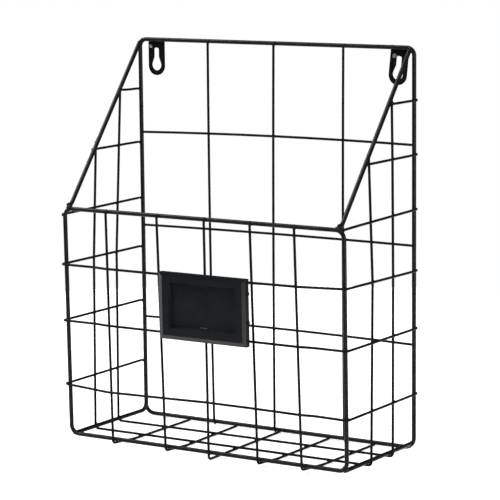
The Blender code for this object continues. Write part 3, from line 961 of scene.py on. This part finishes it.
def set_welds(context):
    """Sets a bead wherever two wires meet and one where the front frame closes."""
    rack = context.scene.magazine_rack
    coat = finished("weld_powder_coat", weld_coat, context)
    wires = {}
    for node in ALL_WIRES:
        line, closed, radius = wire_line(node, rack.wire.bend_step)
        wires[node] = (*sampled(line, closed, WELD_SPACING), radius)
    shape = bmesh.new()
    count = 0
    for i, one in enumerate(ALL_WIRES):
        first, along, near_radius = wires[one]
        for other in ALL_WIRES[i + 1 :]:
            second, across, far_radius = wires[other]
            radii = (near_radius, far_radius)
            top = one.startswith("slant") and other in SIDE_WIRES
            reach = rack.weld.top_reach if top else rack.weld.reach
            for a, b in meetings(first, second, sum(radii) + reach):
                apart = Vector(second[b] - first[a])
                gap = apart.length - sum(radii)
                apart.normalize()
                centre = Vector(first[a]) + apart * (near_radius + gap / 2)
                ways = (apart, Vector(along[a]), Vector(across[b]))
                axes = bead_axes(*ways, radii, gap, rack.weld)
                if one == "front_frame" and other.startswith("slant"):
                    growth = rack.weld.foot_growth
                    axes = (axes[0] * growth, axes[1], axes[2] * growth)
                bead_mesh(shape, centre, axes, count, rack.weld.unevenness)
                count += 1
    line = wires["front_frame"][0]
    bend = Vector(line[(line @ CORNER_WAY).argmax()])
    corner = bend + Vector(CORNER_WAY) * rack.weld.corner_out
    axes = Matrix.Diagonal((rack.weld.corner_radius,) * 3).row
    bead_mesh(shape, corner, axes, count, rack.weld.unevenness)
    bmesh.ops.recalc_face_normals(shape, faces=shape.faces)
    mesh = smooth_mesh("weld_beads", shape, math.pi)
    add_piece(mesh, coat, RACK)


# Plates, holder and card


def softened(node, name, rounding, crease=EDGE_CREASE, edge_slot=-1):
    """A copy of a solid whose sharp edges are rounded, if asked with a material of their own."""
    shape = bmesh.new()
    shape.from_mesh(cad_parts[node].data)
    bmesh.ops.remove_doubles(shape, verts=shape.verts, dist=SAME_PLACE)
    bmesh.ops.dissolve_limit(
        shape, angle_limit=FLAT_ANGLE, verts=shape.verts, edges=shape.edges
    )
    sharp = [
        edge
        for edge in shape.edges
        if len(edge.link_faces) == 2 and edge.calc_face_angle() > crease
    ]
    bmesh.ops.bevel(
        shape,
        geom=sharp,
        offset=rounding,
        offset_type="OFFSET",
        segments=ROUNDING_SEGMENTS,
        profile=0.5,
        material=edge_slot,
        affect="EDGES",
        clamp_overlap=True,
    )
    return smooth_mesh(name, shape, SHADE_CREASE)


def even_normals(piece):
    """Keeps flat faces flat beside their rounded edges."""
    modifier = piece.modifiers.new("even_normals", "WEIGHTED_NORMAL")
    modifier.keep_sharp = True


def spot_mesh(name, centre, radius, height):
    """A weld spot on a plate's front: a dome inside a sunk, raised-edged ring."""
    shape = bmesh.new()
    loops = []
    for share, rise in SPOT_PROFILE:
        loop = []
        for i in range(SPOT_SIDES):
            angle = 2 * math.pi * i / SPOT_SIDES
            aside = Vector((math.cos(angle), 0.0, math.sin(angle))) * radius * share
            out = Vector((0.0, -height * rise, 0.0))
            loop.append(shape.verts.new(centre + aside + out))
        loops.append(loop)
    for near, far in zip(loops, loops[1:]):
        for i in range(SPOT_SIDES):
            j = (i + 1) % SPOT_SIDES
            shape.faces.new((near[i], near[j], far[j], far[i]))
    shape.faces.new(loops[0])
    shape.faces.new(loops[-1])
    bmesh.ops.recalc_face_normals(shape, faces=shape.faces)
    return smooth_mesh(name, shape, math.pi)


def dress_hangers(context):
    """Rounds the stamped plates, and adds each one's weld spot and its seam to the top bar."""
    rack = context.scene.magazine_rack
    coat = finished("plate_powder_coat", plate_coat, context)
    weld = finished("weld_powder_coat", weld_coat, context)
    # The spots' pale colours are painted glints
    spots = {
        "left": finished("bare_weld_spot", left_spot_with_glint, context),
        "right": finished("thin_weld_spot", right_spot_with_glint, context),
    }
    for seed, side in enumerate(SIDES):
        node = f"hanger_{side}"
        mesh = softened(node, f"coated_{node}", rack.hanger.edge_rounding)
        even_normals(add_piece(mesh, coat, RACK, (node,)))
        low, high = (Vector(corner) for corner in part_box(node))
        in_from_left, down = SPOT_PLACES[side]
        place = Vector((low.x + in_from_left, low.y, high.z - down))
        height = rack.hanger.spot_height
        spot = spot_mesh(f"weld_spot_{side}", place, SPOT_RADII[side], height)
        add_piece(spot, spots[side], RACK)
        thin = rack.weld.seam_radius
        axes = Matrix.Diagonal((rack.weld.seam, thin, thin)).row
        shape = bmesh.new()
        middle = (low.x + high.x) / 2
        under_bar = Vector((middle, low.y, BACK_TOP - SEAM_DROP))
        bead_mesh(shape, under_bar, axes, seed, rack.weld.unevenness)
        add_piece(smooth_mesh(f"weld_seam_{side}", shape, math.pi), weld, RACK)


def dress_label_holder(context):
    """Rounds the moulded holder's edges and polishes its shallow bevel."""
    rack = context.scene.magazine_rack
    plastic = finished("charcoal_moulding", moulded_plastic, context)
    polished = finished("polished_moulding", polished_plastic, context)
    mesh = softened(
        "label_holder", "moulded_label_holder", rack.label.edge_rounding, BEVEL_CREASE, edge_slot=1
    )
    even_normals(add_piece(mesh, plastic, RACK, ("label_holder",)))
    mesh.materials.append(polished)
    least, most = BEVEL_TILT
    for face in mesh.polygons:
        tilt = face.normal.angle(Vector((0.0, -1.0, 0.0)))
        if least < tilt < most and face.area > BEVEL_LEAST_AREA:
            face.material_index = 1


def dress_label_card(context):
    """Rounds the card's cut edges."""
    rack = context.scene.magazine_rack
    card = finished("dark_fibre_card", fibre_card, context)
    mesh = softened("label_card", "cut_label_card", rack.label.card_rounding)
    even_normals(add_piece(mesh, card, CARD, ("label_card",)))


# Stage


def add_camera(stage):
    """A long lens at the photograph's angle."""
    camera = bpy.data.objects.new("camera", bpy.data.cameras.new("camera"))
    bpy.context.scene.collection.objects.link(camera)
    level = math.cos(stage.elevation)
    back = Vector(
        (
            math.sin(stage.azimuth) * level,
            -math.cos(stage.azimuth) * level,
            math.sin(stage.elevation),
        )
    )
    right = Vector((math.cos(stage.azimuth), math.sin(stage.azimuth), 0.0))
    up = back.cross(right)
    tilted = right * math.cos(stage.roll) + up * math.sin(stage.roll)
    upright = up * math.cos(stage.roll) - right * math.sin(stage.roll)
    turn = Matrix((tilted, upright, back)).transposed().to_4x4()
    place = Vector(stage.target) + back * stage.distance
    camera.matrix_world = Matrix.Translation(place) @ turn
    camera.data.sensor_width = SENSOR_WIDTH
    camera.data.lens = stage.lens
    camera.data.clip_end = FAR_LIMIT
    bpy.context.scene.camera = camera


def add_softbox(name, place, size, power):
    """A rectangular area light turned towards the rack."""
    light = bpy.data.lights.new(name, "AREA")
    light.shape = "RECTANGLE"
    light.size, light.size_y = size
    light.energy = power
    lamp = bpy.data.objects.new(name, light)
    lamp.location = place
    lamp.rotation_mode = "QUATERNION"
    lamp.rotation_quaternion = (Vector(LIGHT_AIM) - Vector(place)).to_track_quat("-Z", "Y")
    lamp.visible_camera = False
    bpy.context.scene.collection.objects.link(lamp)


def add_sky(stage):
    """A white surround to the eye; as a light it is dim."""
    world = bpy.data.worlds.new("studio")
    world.use_nodes = True
    bpy.context.scene.world = world
    tree = world.node_tree
    nodes = tree.nodes
    glow = nodes["Background"]
    glow.inputs["Color"].default_value = WHITE
    glow.inputs["Strength"].default_value = stage.surround_glow
    white = nodes.new("ShaderNodeBackground")
    white.inputs["Color"].default_value = WHITE
    ray = nodes.new("ShaderNodeLightPath")
    mix = nodes.new("ShaderNodeMixShader")
    tree.links.new(ray.outputs["Is Camera Ray"], mix.inputs["Fac"])
    tree.links.new(glow.outputs["Background"], mix.inputs[1])
    tree.links.new(white.outputs["Background"], mix.inputs[2])
    tree.links.new(mix.outputs["Shader"], nodes["World Output"].inputs["Surface"])


def set_stage(context):
    """Floor, surround, softboxes and camera."""
    stage = context.scene.magazine_rack.stage
    shape = bmesh.new()
    bmesh.ops.create_circle(
        shape, cap_ends=True, radius=stage.floor_radius, segments=FLOOR_SEGMENTS
    )
    mesh = bpy.data.meshes.new("floor")
    shape.to_mesh(mesh)
    shape.free()
    mesh.materials.append(floor_paint("pale_floor", context))
    floor = bpy.data.objects.new("floor", mesh)
    floor.location.z = -FLOOR_DROP
    context.scene.collection.objects.link(floor)
    add_sky(stage)
    for side, (place, size) in SOFTBOXES.items():
        add_softbox(f"{side}_softbox", place, size, getattr(stage, f"{side}_power"))
    context.scene.view_settings.view_transform = "Standard"
    add_camera(stage)


# Operators, panel and registration


class RackFrames(Operator):
    """Lay coated wire along the back and front frames"""

    bl_idname = "magazine_rack.frames"
    bl_label = "Frames"

    def execute(self, context):
        lay_frame_wires(context, FRAMES)
        return {"FINISHED"}


class RackRails(Operator):
    """Lay coated wire along the slant and base rails"""

    bl_idname = "magazine_rack.rails"
    bl_label = "Rails"

    def execute(self, context):
        lay_frame_wires(context, RAILS)
        return {"FINISHED"}


class RackBackMesh(Operator):
    """Lay coated wire along the back's uprights and crossbars"""

    bl_idname = "magazine_rack.back_mesh"
    bl_label = "Back mesh"

    def execute(self, context):
        lay_mesh_wires(context, BACK_MESH)
        return {"FINISHED"}


class RackFrontWires(Operator):
    """Lay coated wire down the front and along the floor"""

    bl_idname = "magazine_rack.front_wires"
    bl_label = "Front wires"

    def execute(self, context):
        lay_mesh_wires(context, FRONT_WIRES)
        return {"FINISHED"}


class RackSideWires(Operator):
    """Lay coated wire across the floor and up both sides"""

    bl_idname = "magazine_rack.side_wires"
    bl_label = "Side wires"

    def execute(self, context):
        lay_mesh_wires(context, SIDE_WIRES)
        return {"FINISHED"}


class RackHoops(Operator):
    """Lay coated wire round the pocket"""

    bl_idname = "magazine_rack.hoops"
    bl_label = "Hoops"

    def execute(self, context):
        lay_mesh_wires(context, HOOPS)
        return {"FINISHED"}


class RackShortWires(Operator):
    """Lay the short coated wires at each side"""

    bl_idname = "magazine_rack.short_wires"
    bl_label = "Short side wires"

    def execute(self, context):
        lay_mesh_wires(context, SHORT_WIRES, context.scene.magazine_rack.wire.ball_rounding)
        return {"FINISHED"}


class RackWelds(Operator):
    """Set a bead wherever two wires meet"""

    bl_idname = "magazine_rack.welds"
    bl_label = "Welds"

    def execute(self, context):
        set_welds(context)
        return {"FINISHED"}


class RackHangers(Operator):
    """Dress the two keyhole plates"""

    bl_idname = "magazine_rack.hangers"
    bl_label = "Hangers"

    def execute(self, context):
        dress_hangers(context)
        return {"FINISHED"}


class RackLabelHolder(Operator):
    """Dress the label holder"""

    bl_idname = "magazine_rack.label_holder"
    bl_label = "Label holder"

    def execute(self, context):
        dress_label_holder(context)
        return {"FINISHED"}


class RackLabelCard(Operator):
    """Dress the card in the label holder"""

    bl_idname = "magazine_rack.label_card"
    bl_label = "Label card"

    def execute(self, context):
        dress_label_card(context)
        return {"FINISHED"}


class RackStage(Operator):
    """Set the floor, the light and the camera"""

    bl_idname = "magazine_rack.stage"
    bl_label = "Stage"

    def execute(self, context):
        set_stage(context)
        return {"FINISHED"}


OPERATORS = (
    RackFrames,
    RackRails,
    RackBackMesh,
    RackFrontWires,
    RackSideWires,
    RackHoops,
    RackShortWires,
    RackWelds,
    RackHangers,
    RackLabelHolder,
    RackLabelCard,
    RackStage,
)


class RackPanel(Panel):
    """The rack's operators and sizes"""

    bl_idname = "VIEW3D_PT_magazine_rack"
    bl_label = "Magazine rack"
    bl_space_type = "VIEW_3D"
    bl_region_type = "UI"
    bl_category = "Rack"

    def draw(self, context):
        rack = context.scene.magazine_rack
        for operator in OPERATORS:
            self.layout.operator(operator.bl_idname)
        for group in (rack.wire, rack.weld, rack.hanger, rack.label, rack.finish, rack.stage):
            box = self.layout.box()
            for name in group.bl_rna.properties.keys():
                if name not in ("rna_type", "name"):
                    box.prop(group, name)


CLASSES = (
    RackWireSettings,
    RackWeldSettings,
    RackHangerSettings,
    RackLabelSettings,
    RackFinishSettings,
    RackStageSettings,
    RackSettings,
    *OPERATORS,
    RackPanel,
)


def register():
    """Makes the classes and the rack's settings known."""
    for made in CLASSES:
        bpy.utils.register_class(made)
    bpy.types.Scene.magazine_rack = PointerProperty(type=RackSettings)


def unregister():
    """Takes the settings and the classes away again."""
    del bpy.types.Scene.magazine_rack
    for made in reversed(CLASSES):
        bpy.utils.unregister_class(made)


def main():
    """Builds the dressed rack."""
    register()
    bpy.ops.magazine_rack.frames()
    bpy.ops.magazine_rack.rails()
    bpy.ops.magazine_rack.back_mesh()
    bpy.ops.magazine_rack.front_wires()
    bpy.ops.magazine_rack.side_wires()
    bpy.ops.magazine_rack.hoops()
    bpy.ops.magazine_rack.short_wires()
    bpy.ops.magazine_rack.welds()
    bpy.ops.magazine_rack.hangers()
    bpy.ops.magazine_rack.label_holder()
    bpy.ops.magazine_rack.label_card()
    bpy.ops.magazine_rack.stage()


if __name__ == "__main__":
    main()
